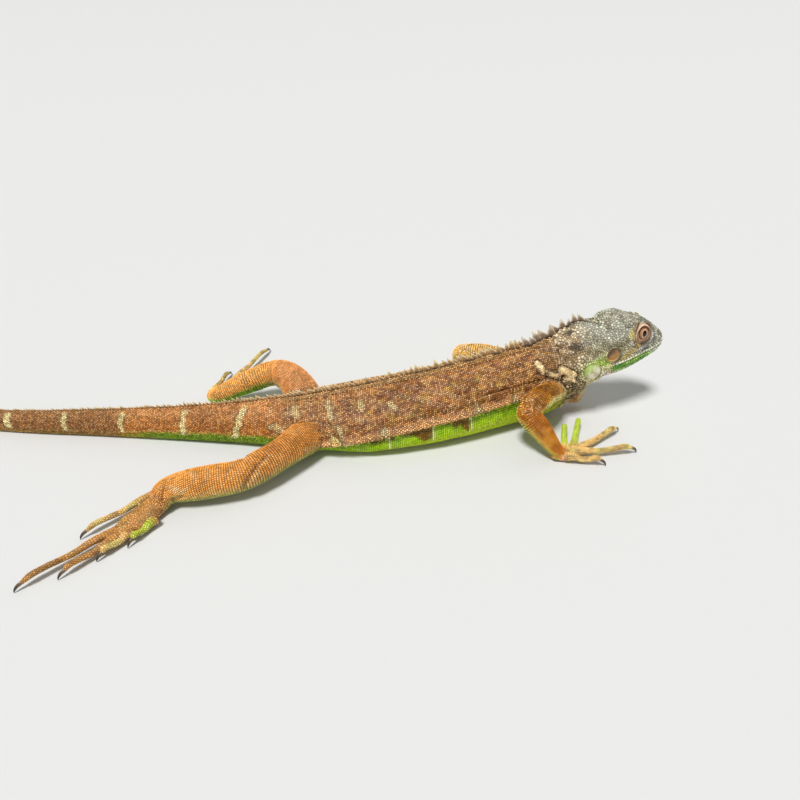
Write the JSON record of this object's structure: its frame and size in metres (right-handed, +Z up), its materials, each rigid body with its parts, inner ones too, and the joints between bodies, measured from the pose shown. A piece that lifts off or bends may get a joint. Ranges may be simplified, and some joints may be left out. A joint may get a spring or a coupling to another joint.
{
  "type": "iguana",
  "caption": "Young green iguana, life size, lying sprawled on its belly with the head raised and the long tail laid out behind.",
  "frame": {"origin": "on the floor, under the middle of the belly", "axes": "+X towards the head, +Y to the animal's left, +Z up"},
  "size_m": [0.6384, 0.2924, 0.0603],
  "materials": {
    "back": "dry scaly skin, rusty brown with paler bands and a lime green belly",
    "head": "dry plated skin, grey olive with pale tubercles",
    "limb": "dry scaly skin, orange rust",
    "dewlap": "thin dry skin, orange brown",
    "shield": "smooth pale green plate with a soft sheen",
    "ear": "thin taut skin, translucent brown, satin",
    "eye": "wet copper brown with a black pupil",
    "claw": "dark horn, satin"
  },
  "bodies": {
    "root": {"cheek_shield_left": "shield", "cheek_shield_right": "shield", "claw_foot_left_1": "claw", "claw_foot_left_2": "claw", "claw_foot_left_3": "claw", "claw_foot_left_4": "claw", "claw_foot_left_5": "claw", "claw_foot_right_1": "claw", "claw_foot_right_2": "claw", "claw_foot_right_3": "claw", "claw_foot_right_4": "claw", "claw_foot_right_5": "claw", "claw_hand_left_1": "claw", "claw_hand_left_2": "claw", "claw_hand_left_3": "claw", "claw_hand_left_4": "claw", "claw_hand_left_5": "claw", "claw_hand_right_1": "claw", "claw_hand_right_2": "claw", "claw_hand_right_3": "claw", "claw_hand_right_4": "claw", "claw_hand_right_5": "claw", "dewlap": "dewlap", "eardrum_left": "ear", "eardrum_right": "ear", "eye_left": "eye", "eye_right": "eye", "foot_left": "limb", "foot_right": "limb", "forearm_left": "limb", "forearm_right": "limb", "hand_left": "limb", "hand_right": "limb", "head": "head", "lower_jaw": "head", "neck": "head", "shin_left": "limb", "shin_right": "limb", "tail_end": "back", "tail_middle": "back", "tail_root": "back", "tail_whip": "back", "thigh_left": "limb", "thigh_right": "limb", "trunk": "back", "upper_arm_left": "limb", "upper_arm_right": "limb"}
  },
  "joints": []
}
